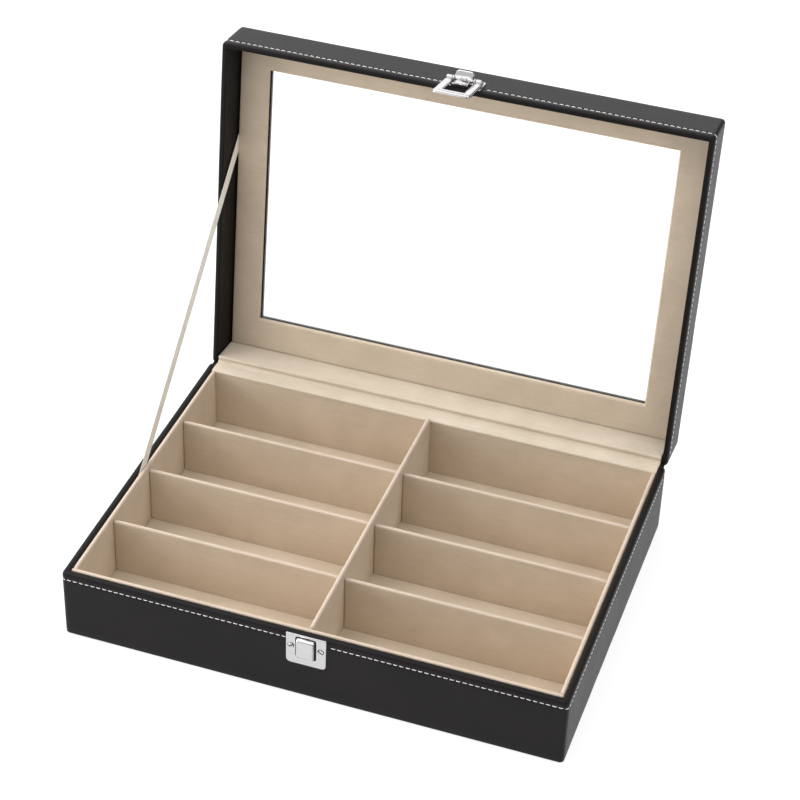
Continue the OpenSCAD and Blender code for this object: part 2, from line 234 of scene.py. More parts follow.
def make_ribbon(name, tone, low, high, sheen):
    s = Shader(name, tone, 0.6, Sheen_Weight=sheen, Sheen_Roughness=0.4, Specular_IOR_Level=0.35)
    ribs = s.node("ShaderNodeTexWave", wave_type="BANDS", bands_direction="Z")
    ribs.inputs["Scale"].default_value = 520
    s.link(s.coordinates, ribs.inputs["Vector"])
    threads = s.noise(2600, 2)
    s.paint(ribs.outputs["Fac"], (0.0, low), (0.6, high))
    s.roughen(s.remap(threads, 0.5, 0.7))
    s.bump((ribs.outputs["Fac"], 0.12, 0.6), (threads, 0.03, 0.4))
    return s.material


def make_thread():
    s = Shader("white_thread", (0.86, 0.84, 0.80), 0.6, Sheen_Weight=0.2)
    strands = s.noise(3800, 2)
    s.paint(strands, (0.3, (0.84, 0.83, 0.80)), (0.7, (0.95, 0.94, 0.92)))
    s.roughen(s.remap(strands, 0.5, 0.72))
    s.bump((strands, 0.05, 0.6))
    return s.material


def make_chrome():
    s = Shader("bright_metal", (0.56, 0.55, 0.555), 0.10, Metallic=1.0)
    wear = s.noise(210, 4, 0.65)
    scratches = s.noise(900, 3, 0.6, s.scaled((1, 6, 0.4)))
    s.paint(wear, (0.3, (0.545, 0.535, 0.54)), (0.7, (0.575, 0.565, 0.57)))
    s.roughen(s.math("ADD", s.remap(wear, 0.07, 0.15), s.remap(scratches, 0.0, 0.06)))
    s.bump((s.noise(300, 2), 0.03, 0.15))
    return s.material


# Near-black metal that paints the shade in the clasp's gaps, slots and hollows; its noise mottles
# that painted shade.
def make_painted_shade_metal():
    s = Shader("metal_recess", grey(0.03), 0.5, Metallic=1.0)
    shade_mottle = s.noise(700, 3)
    s.paint(shade_mottle, (0.3, grey(0.015)), (0.7, grey(0.05)))
    s.roughen(s.remap(shade_mottle, 0.4, 0.65))
    return s.material


def make_board():
    s = Shader("board", (0.30, 0.20, 0.12), 0.8, Specular_IOR_Level=0.3)
    grain = s.noise(60, 5, 0.6, s.scaled((0.15, 2.5, 2.5)))
    s.paint(grain, (0.3, (0.22, 0.14, 0.08)), (0.7, (0.40, 0.28, 0.17)))
    s.roughen(s.remap(grain, 0.7, 0.9))
    s.bump((grain, 0.1, 0.4))
    return s.material


def make_felt():
    s = Shader("underside_felt", grey(0.02), 0.95, Sheen_Weight=0.3, Sheen_Roughness=0.5)
    fibres = s.noise(1400, 4, 0.7)
    s.paint(fibres, (0.3, grey(0.012)), (0.7, (0.04, 0.039, 0.038)))
    s.roughen(s.remap(fibres, 0.85, 1.0))
    s.bump((fibres, 0.12, 0.7), (s.noise(200, 3), 0.15, 0.3))
    return s.material


def make_pane():
    s = Shader("clear_pane", (0.97, 0.99, 0.985), 0.02, Transmission_Weight=1.0, IOR=1.45,
               Alpha=0.12)
    smears = s.noise(14, 3)
    s.roughen(s.remap(smears, 0.0, 0.03))
    s.bump((s.noise(3, 2), 0.05, 0.1))
    return s.material


LEATHER = make_leather("black_leather", (0.0085, 0.0070, 0.0072), (0.0125, 0.0105, 0.0108),
                       0.13, 0.38)
# A darker, rougher copy of the black leather for the inside of the rims: its darkness is painted
# shade.
LEATHER_INSIDE_SHADED = make_leather("black_leather_inside", (0.0055, 0.0046, 0.0040),
                              (0.0085, 0.0073, 0.0064), 0.12, 0.5)
SUEDE = make_suede("beige_lining", (0.60, 0.515, 0.41), (0.55, 0.465, 0.36), (0.66, 0.57, 0.46))
# A darker, more saturated copy of the beige for the dividers, the floor pad and the lid's panel:
# painted shade and bounce light in the compartments.
SUEDE_SHADED = make_suede("beige_divider", (0.60, 0.50, 0.385), (0.55, 0.455, 0.345),
                        (0.65, 0.545, 0.425))
# A slightly darker copy of the beige, with little sheen, for the boards' rounded tops where the
# light falls most: painted shade that tones down their highlight.
SUEDE_CREST_DIMMED = make_suede("beige_edge", (0.58, 0.475, 0.385), (0.54, 0.435, 0.345),
                        (0.62, 0.515, 0.425), sheen=0.08)
# The ribbon in two copies: a brighter one with more sheen for the side that faces right (painted
# light) and a much darker one for the side that faces left (painted shade).
RIBBON = make_ribbon("cream_ribbon", (0.93, 0.895, 0.82), (0.87, 0.83, 0.74),
                     (0.95, 0.92, 0.855), 0.5)
RIBBON_SHADED_SIDE = make_ribbon("cream_ribbon_back", (0.47, 0.425, 0.35), (0.43, 0.385, 0.31),
                          (0.51, 0.465, 0.39), 0.1)
THREAD = make_thread()
CHROME = make_chrome()
# painted shade for the clasp's gaps, slots and hollows
PAINTED_SHADE_METAL = make_painted_shade_metal()
BOARD = make_board()
FELT = make_felt()
PANE = make_pane()


# ---- Mesh helpers ----

def piece(name, points, faces, material, body=None, stands_for=(), sharp=50,
          second=None):
    """A mesh piece from points in millimetres, those of lid and hasp as in the closed lid.
    second is (another material, the numbers of the faces that have it)."""
    if body in ("lid", "hasp"):
        points = [opened(p) for p in points]
    mesh = bpy.data.meshes.new(name)
    mesh.from_pydata([Vector(p) * MM for p in points], [], faces)
    if second:
        for i in second[1]:
            mesh.polygons[i].material_index = 1
    work = bmesh.new()
    work.from_mesh(mesh)
    bmesh.ops.recalc_face_normals(work, faces=work.faces)
    work.to_mesh(mesh)
    work.free()
    mesh.materials.append(material)
    if second:
        mesh.materials.append(second[0])
    mesh.shade_smooth()
    mesh.set_sharp_from_angle(angle=math.radians(sharp))
    obj = bpy.data.objects.new(name, mesh)
    bpy.context.scene.collection.objects.link(obj)
    if stands_for:
        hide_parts(*stands_for)
    if body:
        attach(obj, body)
    return obj


def grid_faces(rows, columns, wrap_rows=False, wrap_columns=False):
    """Quads of a grid of points that was listed row by row."""
    faces = []
    for i in range(rows if wrap_rows else rows - 1):
        for j in range(columns if wrap_columns else columns - 1):
            k = (i + 1) % rows
            m = (j + 1) % columns
            faces.append((i * columns + j, i * columns + m, k * columns + m, k * columns + j))
    return faces


def tube_faces(rows, columns):
    """Faces round rings of points that were listed ring by ring, closed at both ends."""
    faces = grid_faces(rows, columns, wrap_columns=True)
    faces.append(tuple(range(columns)))
    faces.append(tuple((rows - 1) * columns + i for i in range(columns)))
    return faces


def merged(*parts):
    """Several (points, faces) parts as one."""
    points, faces = [], []
    for p, f in parts:
        start = len(points)
        points += list(p)
        faces += [tuple(start + i for i in face) for face in f]
    return points, faces


def wobble(x, y, z, size, seed=0.0):
    """Smooth noise from -1 to 1, with features about size millimetres wide."""
    return noise.noise(Vector((x / size + seed, y / size - seed, z / size)))


def spread(low, high, count):
    return [low + (high - low) * i / (count - 1) for i in range(count)]


def quarter(cx, cy, r, start, steps):
    """Points along a quarter circle; start is in degrees."""
    angles = [math.radians(start + 90 * i / steps) for i in range(steps + 1)]
    return [(cx + r * math.cos(a), cy + r * math.sin(a)) for a in angles]


def circle(sides):
    """(cosine, sine) at even steps round a full turn."""
    turns = [2 * math.pi * k / sides for k in range(sides)]
    return [(math.cos(a), math.sin(a)) for a in turns]


# ---- Leather covers: rings of one topology, lofted through a profile ----

EDGE_X = 162.65
COLUMNS_X = [-EDGE_X] + spread(-EDGE_X + 0.3, EDGE_X - 0.3, 72) + [EDGE_X]
COLUMNS_Y = spread(0, 1, 48)
ARC_STEPS = 6


def ring(sides, front, back, z, middle=None):
    """One closed ring at height z, drawn in by three insets. middle is (inset, z) for the
    part of the back that lies under the spine strip and the hinge cloth."""
    r = max(CORNER_R - min(sides, front, back), 0.2)
    x = HALF_W - sides
    y0 = -HALF_D + front
    y1 = HALF_D - back
    reach = x - r
    share = 1.0 if reach >= EDGE_X else reach / (EDGE_X + 0.6)
    xs = [share * c for c in COLUMNS_X]
    ys = [y0 + r + t * (y1 - y0 - 2 * r) for t in COLUMNS_Y]
    points = [(c, y0, z) for c in xs]

    def arc(cx, cy, start):
        points.extend((u, v, z) for u, v in quarter(cx, cy, r, start, ARC_STEPS))

    arc(reach, y0 + r, -90)
    points += [(x, c, z) for c in ys[1:-1]]
    arc(reach, y1 - r, 0)
    for c in reversed(xs):
        if middle and abs(c) < EDGE_X - 0.1:
            points.append((c, HALF_D - middle[0], middle[1]))
        else:
            points.append((c, y1, z))
    arc(-reach, y1 - r, 90)
    points += [(-x, c, z) for c in reversed(ys[1:-1])]
    arc(-reach, y0 + r, 180)
    return points


def slightly_uneven(points):
    """Leather over a board is never quite flat: its front and sides dip a little."""
    moved = []
    for x, y, z in points:
        dip = min(LEATHER_DIP * wobble(x, y, z, 26), 0)
        sx = math.copysign(1, x) if abs(abs(x) - HALF_W) < 0.6 else 0
        sy = -1 if abs(y + HALF_D) < 0.6 else 0
        moved.append((x + dip * sx, y + dip * sy, z))
    return moved


def groove(z, depth=0.24):
    """The dent that a row of stitches pulls into the leather, as (inset, z) steps."""
    return [(0.02, z - 1.1), (0.6 * depth, z - 0.4), (depth, z), (0.6 * depth, z + 0.4),
            (0.02, z + 1.1)]


def cover(name, points, profile, shaded_rows, body, node):
    """Leather on one half of the case. The given inner rows get a darker copy of the leather,
    which paints the shade inside the case.
    """
    columns = len(points) // len(profile)
    inside = [row * columns + i for row in shaded_rows for i in range(columns)]
    piece(name, slightly_uneven(points), grid_faces(len(profile), columns, wrap_columns=True),
          LEATHER, body, [node], second=(LEATHER_INSIDE_SHADED, inside))


def base_cover():
    """From the turned-in lower edge up the outside, over the rim and down inside."""
    top = BASE_TOP
    profile = [(10, 1.05), (9.95, 0.45), (7, 0.3), (1.7, 0.3), (0.8, 0.5), (0.2, 1.1), (0, 2.1)]
    profile += [(0, z) for z in (7, 14, 21, 28, 34, SPINE_LOW - 0.15, SPINE_LOW + 0.1, 43)]
    profile += groove(top - STITCH_DROP)
    profile += [(0, top - 2.9), (0.03, top - 2.0), (0.28, top - 0.95), (0.8, top - 0.28),
                (1.5, top - 0.02), (2.6, top), (3.7, top - 0.05), (4.3, top - 0.3),
                (4.62, top - 0.95), (4.66, top - 4), (4.66, top - 12)]
    points = []
    for inset, z in profile:
        middle = None
        if z > SPINE_LOW:
            middle = (max(inset, SKIN + 0.05), min(z, top - CLOTH_T - 0.15))
        points += ring(inset, inset, inset, z, middle)
    crest = profile.index((1.5, top - 0.02))
    cover("base_leather", points, profile, range(crest, len(profile) - 1), "base",
          "base_leather_cover")


def lid_cover():
    """From the panel down inside, round the rim, up the outside and over to the window."""
    rim = LID_RIM
    top = LID_TOP
    inner = (LID_WALL, LID_WALL, LID_BACK)
    profile = [((6.6, 6.2, 7.6), PANEL_Z + 2.85), ((4.3, 4.3, LID_BACK + 0.1), PANEL_Z + 2.8)]
    profile += [(inner, z) for z in (PANEL_Z + 1.5, 70, 64, 58, rim + 2.2, rim + 1.1)]
    profile += [((LID_WALL - 0.1, LID_WALL - 0.1, LID_BACK), rim + 0.5),
                ((3.75, 3.75, 4.6), rim + 0.12)]
    profile += [(i, rim + h) for i, h in ((3.2, 0), (2.2, 0), (1.4, 0.03), (0.75, 0.3),
                                          (0.25, 0.95), (0.03, 2.0), (0, 2.9))]
    profile += groove(rim + STITCH_DROP)
    profile += [(0, z) for z in (59, SPINE_HIGH - 0.1, SPINE_HIGH + 0.15, 66, 70, 75, 80,
                                 top - 2.2)]
    profile += [(0.15, top - 1.2), (0.55, top - 0.5), (1.2, top - 0.08), (2.0, top)]
    profile += [(i, top) for i in (5, 9, 13, 17, 20.5)]
    window = (25.65, 24.0, 28.15)
    for grow, h in ((1.0, 0.0), (0.45, 0.03), (0.12, 0.2), (0.0, 0.55), (0.0, 2.0), (0.0, 3.72)):
        profile.append((tuple(w - grow for w in window), top - h))
    points = []
    for inset, z in profile:
        outside = not isinstance(inset, tuple)
        sides, front, back = (inset,) * 3 if outside else inset
        middle = None
        if z < SPINE_HIGH and outside:
            middle = (max(back, SKIN + 0.05), max(z, rim + CLOTH_T + 0.1))
        elif z < rim + CLOTH_T:
            middle = (back, rim + CLOTH_T + 0.1)
        points += ring(sides, front, back, z, middle)
    crest = profile.index((1.4, rim + 0.03))
    window_rows = range(len(profile) - 4, len(profile) - 1)
    cover("lid_leather", points, profile, [*range(crest), *window_rows], "lid",
          "lid_leather_cover")


# ---- Stitches ----

STITCH_PITCH = 4.06
STITCH_LENGTH = 2.95
STITCH_R = 0.26
STITCH_SIDES = 6
STITCH_START = 1.8
STITCH_CLEAR = 13.4
LINE_STEP = 0.25
# place along a thread, width, height: shares of its length, its radius, and millimetres
STITCH_RINGS = ((-0.5, 0.35, -0.16), (-0.4, 0.85, 0.02), (-0.15, 1.0, 0.12), (0.15, 1.0, 0.12),
                (0.4, 0.85, 0.02), (0.5, 0.35, -0.16))


def around_walls(z):
    """The line round the left, front and right walls, as (point, direction, outward)."""
    r = CORNER_R
    y_end = HALF_D - 4
    x = HALF_W
    line = []

    def straight(a, b, outward):
        a, b = Vector(a), Vector(b)
        count = round((b - a).length / LINE_STEP)
        for i in range(count):
            line.append((a.lerp(b, i / count), (b - a).normalized(), Vector(outward)))

    def turn(cx, cy, start):
        count = round(r * math.pi / 2 / LINE_STEP)
        for i in range(count):
            a = math.radians(start + 90 * i / count)
            out = Vector((math.cos(a), math.sin(a), 0))
            along = Vector((-math.sin(a), math.cos(a), 0))
            line.append((Vector((cx, cy, z)) + r * out, along, out))

    straight((-x, y_end, z), (-x, -HALF_D + r, z), (-1, 0, 0))
    turn(-x + r, -HALF_D + r, 180)
    straight((-x + r, -HALF_D, z), (x - r, -HALF_D, z), (0, -1, 0))
    turn(x - r, -HALF_D + r, 270)
    straight((x, -HALF_D + r, z), (x, y_end, z), (1, 0, 0))
    return line


def stitches(name, z, body):
    """Single threads in a row at height z, clear of the clasp's plates."""
    line = around_walls(z)
    threads = []
    place = STITCH_START / LINE_STEP
    while place < len(line) - STITCH_START / LINE_STEP:
        centre, along, out = line[int(place)]
        place += STITCH_PITCH / LINE_STEP
        if centre.y < -HALF_D + 1 and abs(centre.x - CLASP_X) < STITCH_CLEAR:
            continue
        lift = out.cross(along)
        along = (along + lift * random.uniform(-0.035, 0.035)).normalized()
        length = STITCH_LENGTH * random.uniform(0.95, 1.05)
        points = []
        for share, width, rise in STITCH_RINGS:
            middle = centre + along * share * length + out * (rise - 0.12)
            points += [middle + STITCH_R * width * (u * out + v * out.cross(along))
                       for u, v in circle(STITCH_SIDES)]
        threads.append((points, tube_faces(len(STITCH_RINGS), STITCH_SIDES)))
    points, faces = merged(*threads)
    piece(name, points, faces, THREAD, body)


# ---- Fabric-covered boards ----

def end_steps(length, inner=7.0):
    """Places along a board, close together at its ends."""
    near = [0, 0.25, 0.7, 1.4, 2.6, 4.2]
    count = max(int((length - 2 * inner) / 6), 2)
    return near + spread(inner, length - inner, count) + [length - n for n in reversed(near)]


def wrapped_board(name, node, along, top_r, droop, seed, end_gap=0.0):
    """A board wrapped in soft cloth: a rounded top edge that sags a little at both ends."""
    low, high = node_box(node)
    a = 0 if along == "x" else 1
    b = 1 - a
    half = (high[b] - low[b]) / 2
    mid = (high[b] + low[b]) / 2
    r = min(top_r, half)
    start = low[a] + end_gap
    length = high[a] - low[a] - 2 * end_gap
    heights = [low[2]] + spread(low[2] + 2, high[2] - r - 0.6, 7)
    section = [(-half, h, 0) for h in heights]
    for i in range(9):
        t = math.radians(180 - 22.5 * i)
        flat = half - r
        section.append((r * math.cos(t) + math.copysign(flat, math.cos(t)) * (i != 4),
                        high[2] - r + r * math.sin(t), math.sin(t)))
    section += [(half, h, 0) for h in reversed(heights)]
    points = []
    for s in end_steps(length):
        edge = min(s, length - s)
        narrow = 1 - 0.5 * math.exp(-edge / 0.35)
        sag = droop * math.exp(-edge / 2.2) + 0.12 * abs(wobble(s, seed, 0, 30, seed))
        for across, h, up in section:
            side = math.copysign(1, across) if across else 0
            soft = 0.07 * wobble(s, h, side * 9, 16, seed)
            share = max(0.0, (h - low[2]) / (high[2] - low[2]))
            p = [0, 0, h - sag * share ** 8]
            p[a] = start + s
            p[b] = mid + across * narrow + side * soft * (1 - up)
            points.append(p)
    rows = len(end_steps(length))
    columns = len(section)
    # The rounded top of each board gets the dimmed copy of the beige: painted shade against its
    # highlight.
    crest = [row * columns + i for row in range(rows - 1) for i in range(columns)
             if section[i][2] > 0.3 and section[(i + 1) % columns][2] > 0.3]
    piece(name, points, tube_faces(rows, columns), SUEDE_SHADED, "base", [node],
          sharp=70, second=(SUEDE_CREST_DIMMED, crest))


def dividers_and_lining():
    for side, *shape in (("front", "x", 1.2, 0.2, 1), ("left", "y", 1.2, 0.5, 2),
                         ("right", "y", 1.2, 0.5, 3), ("back", "x", 0.5, 0.1, 4)):
        wrapped_board(f"lining_{side}", f"liner_{side}", *shape)
    wrapped_board("divider_long", "divider_center", "y", 1.4, 0.7, 5)
    for side in ("left", "right"):
        for i, row in enumerate(DIVIDER_ROWS):
            wrapped_board(f"divider_short_{side}_{row}", f"divider_{side}_{row}", "x", 1.4, 0.9,
                          6 + i + 3 * (side == "left"), 0.15)


def floor_cushion():
    """The floor pad, a little crowned in each compartment."""
    low, high = node_box("floor_pad")
    edges = [low[1] + 2.7]
    for row in DIVIDER_ROWS:
        d_low, d_high = node_box(f"divider_left_{row}")
        edges += [d_low[1], d_high[1]]
    edges.append(high[1] - 3.6)

    def crown(v, pairs):
        for a, b in pairs:
            if a < v < b:
                t = 2 * (v - a) / (b - a) - 1
                return 1 - t ** 6
        return 0.0

    pairs_x = [(low[0] + 2.7, -1.4), (1.4, high[0] - 2.7)]
    pairs_y = list(zip(edges[0::2], edges[1::2]))
    xs = spread(low[0], high[0], 150)
    ys = spread(low[1], high[1], 110)
    points = []
    for y in ys:
        for x in xs:
            rise = crown(x, pairs_x) * crown(y, pairs_y)
            lift = 0.7 * rise + 0.1 * wobble(x, y, 0, 20) * rise
            edge = x in (xs[0], xs[-1]) or y in (ys[0], ys[-1])
            points.append((x, y, low[2] + 0.2 if edge else high[2] - 0.25 + lift))
    faces = grid_faces(len(ys), len(xs))
    pad = piece("floor_cushion", points, faces, SUEDE_SHADED, None, ["floor_pad"])
    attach(pad, "base")


def lid_panel():
    """The cloth-covered frame round the window, with soft edges on both sides."""
    sides = HALF_W - panel_high[0]
    front = HALF_D + panel_low[1]
    back = HALF_D - panel_high[1]
    window = (25.4, 24.8, 29.3)
    outer = (sides, front, back - 0.15)
    z = PANEL_Z
    steps = [(outer, grow, h) for grow, h in (
        (0, 2.6), (0, 0.6), (0.15, 0.2), (0.5, 0.03), (2, 0), (5, 0), (9, 0), (13, 0))]
    steps += [(window, grow, h) for grow, h in (
        (-6, 0), (-2.2, 0), (-1.9, 0.03), (-1.7, 0.25), (-1.5, 0.05), (-1.1, 0.1),
        (-0.35, 0.5), (0, 1.2), (0, 2.8))]
    points = []
    for insets, grow, h in steps:
        row = ring(*(i + grow for i in insets), z + h)
        points += [(x, y, w + 0.12 * wobble(x, y, 0, 24) * (h == 0)) for x, y, w in row]
    columns = len(points) // len(steps)
    piece("lid_panel", points, grid_faces(len(steps), columns, wrap_columns=True), SUEDE_SHADED,
          "lid", ["lid_liner_panel"])


# ---- Soft strips across the hinge ----

def bezier(a, b, c, count):
    out = []
    for i in range(count + 1):
        t = i / count
        out.append(tuple((1 - t) ** 2 * a[k] + 2 * t * (1 - t) * b[k] + t * t * c[k]
                         for k in (0, 1)))
    return out


def opened_yz(y, z):
    return opened((0, y, z))[1:]


def resampled(path, step):
    """The same line with points at most step apart."""
    out = [path[0]]
    for a, b in zip(path, path[1:]):
        count = max(1, math.ceil(math.dist(a, b) / step))
        for i in range(1, count + 1):
            out.append(tuple(a[k] + (b[k] - a[k]) * i / count for k in (0, 1)))
    return out


def strip(name, path, thickness, half_width, material, node, columns, uneven, seed,
          taper=1.5, reach=None):
    """A sheet that follows a [y, z] path, drawn out along X, with thin rounded borders.
    reach(y, z) says how much wider it is there, at either end."""
    normals = []
    for i in range(len(path)):
        a = path[max(i - 1, 0)]
        b = path[min(i + 1, len(path) - 1)]
        d = math.dist(a, b)
        normals.append((-(b[1] - a[1]) / d, (b[0] - a[0]) / d))
    run = [0.0]
    for a, b in zip(path, path[1:]):
        run.append(run[-1] + math.dist(a, b))
    xs = [-half_width, -half_width + 0.3] + spread(-half_width + 1, half_width - 1, columns)
    xs += [half_width - 0.3, half_width]
    points = []
    for x in xs:
        edge_x = min(1.0, 0.35 + (half_width - abs(x)) / 0.5)
        outline = []
        for side in (1, -1):
            rows = []
            for i, (y, z) in enumerate(path):
                end = min(run[i], run[-1] - run[i])
                thin = min(1.0, 0.15 + end / taper) * edge_x
                soft = uneven * wobble(x, run[i] * 2, 0, 18, seed)
                off = side * thickness / 2 * thin + soft * (side > 0)
                wide = reach(y, z) if reach else 0.0
                wide *= max(0.0, 1 - (half_width - abs(x)) / 5)
                off -= 0.12 * wide ** 2
                rows.append((x + math.copysign(wide, x), y + normals[i][0] * off,
                             z + normals[i][1] * off))
            outline += rows if side > 0 else rows[::-1]
        points += outline
    around = 2 * len(path)
    faces = grid_faces(len(xs), around, wrap_columns=True)
    last = (len(xs) - 1) * around
    for i in range(len(path) - 1):
        a, b, c, d = i, i + 1, around - 2 - i, around - 1 - i
        faces.append((a, b, c, d))
        faces.append((last + a, last + b, last + c, last + d))
    return piece(name, points, faces, material, None, [node], sharp=80), run[-1]


def hinge_cloth():
    z = BASE_TOP - CLOTH_T / 2
    rim = LID_RIM + CLOTH_T / 2 - 0.05
    inside = HALF_D - 6.4 + CLOTH_T / 2 - 0.05
    front = HALF_D - 8.7
    foot = opened_yz(HALF_D - 3.2, rim)
    path = [(front + 0.9, z - 3.0), (front + 0.5, z - 1.8)]
    path += bezier((front + 0.2, z - 1.0), (front + 0.2, z), (front + 1.3, z), 5)
    path += [(HALF_D - 1.5, z), (HALF_D - 1.1, z - 0.3)]
    path += bezier((HALF_D - 0.7, z), (foot[0] - 0.4, z - 1.4), foot, 10)
    over = opened_yz(HALF_D - 3.9, rim)
    path += [opened_yz(HALF_D - 3.55, rim + 0.3), over]
    path += bezier(opened_yz(inside + 0.7, rim), opened_yz(inside, rim),
                   opened_yz(inside, rim + 0.7), 6)
    path.append(opened_yz(inside, PANEL_Z - 0.2))
    path = resampled(path, 1.6)
    cloth, length = strip("hinge_lining", path, CLOTH_T, CLOTH_HALF, SUEDE,
                          "hinge_cloth", columns=84, uneven=0.14, seed=21)
    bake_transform(cloth)


def leather_spine():
    y = HALF_D - SKIN / 2
    start = (y, HINGE_Z - 1.4)
    lid_start = opened_yz(y, LID_RIM + 2.5)
    lid_next = opened_yz(y, LID_RIM + 3.5)
    way = (lid_next[0] - lid_start[0], lid_next[1] - lid_start[1])
    corner = (y, lid_start[1] - (lid_start[0] - y) * way[1] / way[0])
    path = [(y, SPINE_LOW)] + bezier(start, corner, lid_start, 10) + [opened_yz(y, SPINE_HIGH)]
    path = resampled(path, 1.5)[::-1]

    def reach(y, z):
        """The strip is as wide as the case where it shows between the rims."""
        off = math.dist((y, z), ((start[0] + lid_start[0]) / 2, (start[1] + lid_start[1]) / 2))
        return 3.3 * min(1.0, max(0.0, (6.5 - off) / 2))

    spine, _ = strip("hinge_leather", path, SKIN, SPINE_HALF, LEATHER,
                     "leather_spine", columns=60, uneven=0.08, seed=31, taper=0.5, reach=reach)
    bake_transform(spine)


def ribbon_stay():
    """One straight ribbon, tucked in behind the left lining and stuck to the lid's panel."""
    low, high = node_box("ribbon_stay")
    x = (low[0] + high[0]) / 2
    foot = Vector((x, -5.0, BASE_TOP))
    top = Vector(opened((x, -39.5, PANEL_Z)))
    way = (top - foot).normalized()
    side = Vector((1, 0, 0)).cross(way)
    half = 4.5
    tail = 15.5
    lap = 1.4
    start = foot - way * tail
    length = (top - foot).length + tail + lap
    rows = 90
    lid_up = Vector(opened((0, 0, 1))) - Vector(opened((0, 0, 0)))
    end_slope = -side.dot(lid_up) / way.dot(lid_up)
    across = [(-half, 0.0), (-half + 0.25, 0.13), (-half + 0.8, 0.2)]
    across += [(c, 0.2) for c in spread(-half + 1.6, half - 1.6, 7)]
    across += [(half - 0.8, 0.2), (half - 0.25, 0.13), (half, 0.0)]
    outline = across + [(c, -t) for c, t in reversed(across[1:-1])]
    points = []
    for i in range(rows):
        s = length * i / (rows - 1)
        p = start + way * s
        rib = 0.012 * math.sin(2.2 * s)
        for c, t in outline:
            lean = 0.05 * wobble(s, c, 0, 12, 3)
            end_cut = way * (c * end_slope * s / length)
            points.append(p + end_cut + side * c
                          + Vector((t + lean + math.copysign(rib, t), 0, 0)))
    # The faces on the ribbon's left side get the darker copy: painted shade.
    shaded_side_faces = [row * len(outline) + i for row in range(rows - 1)
            for i in range(len(across) - 1, len(outline))]
    ribbon = piece("ribbon", points, tube_faces(rows, len(outline)), RIBBON, None,
                   ["ribbon_stay"], second=(RIBBON_SHADED_SIDE, shaded_side_faces))
    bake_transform(ribbon)


def felt_pad():
    """The felt below: an uneven underside, and one flat face against the board."""
    low, high = node_box("base_felt")
    xs = spread(low[0], high[0], 60)
    ys = spread(low[1], high[1], 44)
    points = [(x, y, low[2] + 0.02 + 0.06 * abs(wobble(x, y, 0, 14))) for y in ys for x in xs]
    faces = grid_faces(len(ys), len(xs))
    count = len(points)
    columns = len(xs)
    rim = [*range(columns - 1), *range(columns - 1, count - 1, columns),
           *range(count - 1, count - columns, -1), *range(count - columns, 0, -columns)]
    points += [(points[k][0], points[k][1], high[2]) for k in rim]
    for i in range(len(rim)):
        j = (i + 1) % len(rim)
        faces.append((rim[i], rim[j], count + j, count + i))
    faces.append(tuple(count + i for i in range(len(rim))))
    piece("underside_pad", points, faces, FELT, "base", ["base_felt"])


# ---- Clasp ----

def rounded_outline(x, z, half_x, half_z, radii, steps=5):
    """Points round a rectangle in the XZ plane. Four radii go from the lower left round."""
    if isinstance(radii, (int, float)):
        radii = (radii,) * 4
    out = []
    corners = ((-1, -1, 180), (1, -1, 270), (1, 1, 0), (-1, 1, 90))
    for (sx, sz, start), r in zip(corners, radii):
        out += quarter(x + sx * (half_x - r), z + sz * (half_z - r), r, start, steps)
    return out


def front_loft(layers):
    """Points and faces lofted through (outline, distance out from the front face) layers."""
    points = []
    for outline, out in layers:
        points += [(x, -HALF_D - out, z) for x, z in outline]
    return points, tube_faces(len(layers), len(layers[0][0]))


def tube_x(x0, x1, y, z, r, bore=0.0, bevel=0.25, sides=28):
    """A rod or tube along X with eased ends. x0 and x1 are from the clasp's middle."""
    x0 += CLASP_X
    x1 += CLASP_X
    profile = [(x0, r - bevel), (x0 + bevel, r), (x1 - bevel, r), (x1, r - bevel)]
    if bore:
        profile += [(x1, bore), (x0, bore)]
    else:
        profile = [(x0 - 0.1, r * 0.4)] + profile + [(x1 + 0.1, r * 0.4)]
    points = [(x, y + radius * u, z + radius * v) for x, radius in profile
              for u, v in circle(sides)]
    if bore:
        return points, grid_faces(len(profile), sides, wrap_rows=True, wrap_columns=True)
    return points, tube_faces(len(profile), sides)


def turned_on_pin(points, degrees):
    """Points turned about the pin's axis."""
    a = math.radians(degrees)
    out = []
    for x, y, z in points:
        dy = y - PIN_Y
        dz = z - PIN_Z
        out.append((x, PIN_Y + dy * math.cos(a) - dz * math.sin(a),
                    PIN_Z + dy * math.sin(a) + dz * math.cos(a)))
    return out


def metal_piece(name, bright, dark, body, node, sharp):
    """One clasp piece from (points, faces) parts: bright metal, and parts in near-black metal
    that paint shade.
    """
    points, faces = merged(*bright, *dark)
    first_shaded = len(faces) - sum(len(part[1]) for part in dark)
    second = (PAINTED_SHADE_METAL, range(first_shaded, len(faces))) if dark else None
    piece(name, points, faces, CHROME, body, [node], sharp, second)


